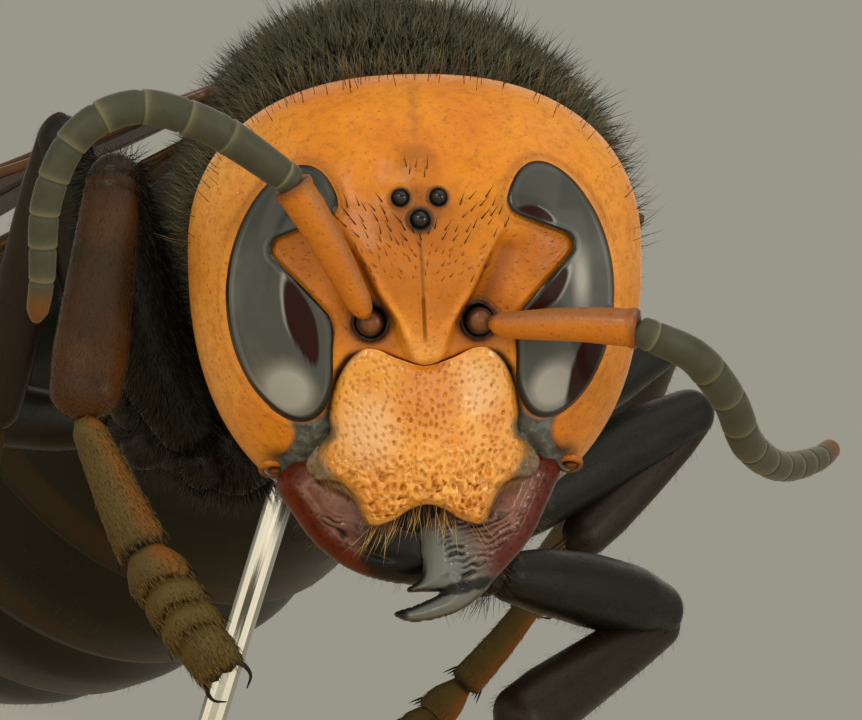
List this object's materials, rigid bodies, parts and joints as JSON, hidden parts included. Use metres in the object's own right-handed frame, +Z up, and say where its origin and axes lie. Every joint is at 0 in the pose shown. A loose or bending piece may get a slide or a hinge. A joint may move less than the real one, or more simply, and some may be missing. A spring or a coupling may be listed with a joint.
{
  "type": "pinned hornet specimen",
  "caption": "Life-size dried Asian giant hornet worker with folded wings and raised foreleg, on an insect pin in a square wooden display base.",
  "frame": {"origin": "centre of the wooden base's underside, on the pin's axis", "axes": "+Z up along the pin; the insect's thorax faces -Y, its own right side towards -X"},
  "size_m": [0.042, 0.0466, 0.041],
  "materials": {
    "head_shell": "satin orange cuticle with fine pits, semi-gloss",
    "face_shield": "coarsely pitted orange cuticle, semi-gloss",
    "eye_facets": "smooth black-brown compound eye, gloss",
    "jaw_shell": "dark red-brown to black cuticle with fine striae, gloss",
    "scape_shell": "smooth orange-brown cuticle, satin",
    "whip_shell": "olive-grey feeler rings with fine down, matt",
    "body_shell": "black-brown cuticle under dense dark down, matt",
    "gaster_shell": "black-brown rings with orange-yellow rims, satin",
    "gaster_tip": "orange-yellow last ring, satin",
    "leg_shell": "black-brown cuticle with short bristles, satin",
    "fore_shin_shell": "red-brown cuticle with short bristles, satin",
    "foot_shell": "olive-gold downy foot joints, matt",
    "wing_membrane": "amber see-through membrane with brown veins, gloss",
    "base_wood": "fine pale limewood, waxed matt",
    "pin_steel": "bright drawn steel, gloss"
  },
  "bodies": {
    "root": {"clypeus": "face_shield", "coxa_fore_l": "leg_shell", "coxa_fore_r": "leg_shell", "coxa_hind_l": "leg_shell", "coxa_hind_r": "leg_shell", "coxa_mid_l": "leg_shell", "coxa_mid_r": "leg_shell", "eye_l": "eye_facets", "eye_r": "eye_facets", "femur_fore_l": "leg_shell", "femur_fore_r": "leg_shell", "femur_hind_l": "leg_shell", "femur_hind_r": "leg_shell", "femur_mid_l": "leg_shell", "femur_mid_r": "leg_shell", "flagellum_base_l": "whip_shell", "flagellum_base_r": "whip_shell", "flagellum_tip_l": "whip_shell", "flagellum_tip_r": "whip_shell", "forewing_l": "wing_membrane", "forewing_r": "wing_membrane", "gaster_1": "gaster_shell", "gaster_2": "gaster_shell", "gaster_3": "gaster_shell", "gaster_4": "gaster_shell", "gaster_5": "gaster_shell", "gaster_6": "gaster_tip", "head": "head_shell", "hindwing_l": "wing_membrane", "hindwing_r": "wing_membrane", "mandible_l": "jaw_shell", "mandible_r": "jaw_shell", "mesothorax": "body_shell", "neck": "body_shell", "pronotum": "body_shell", "propodeum": "body_shell", "scape_l": "scape_shell", "scape_r": "scape_shell", "stand_base": "base_wood", "stand_pin": "pin_steel", "tarsus_fore_l": "foot_shell", "tarsus_fore_r": "foot_shell", "tarsus_hind_l": "foot_shell", "tarsus_hind_r": "foot_shell", "tarsus_mid_l": "foot_shell", "tarsus_mid_r": "foot_shell", "tibia_fore_l": "leg_shell", "tibia_fore_r": "fore_shin_shell", "tibia_hind_l": "leg_shell", "tibia_hind_r": "leg_shell", "tibia_mid_l": "leg_shell", "tibia_mid_r": "leg_shell"}
  },
  "joints": []
}
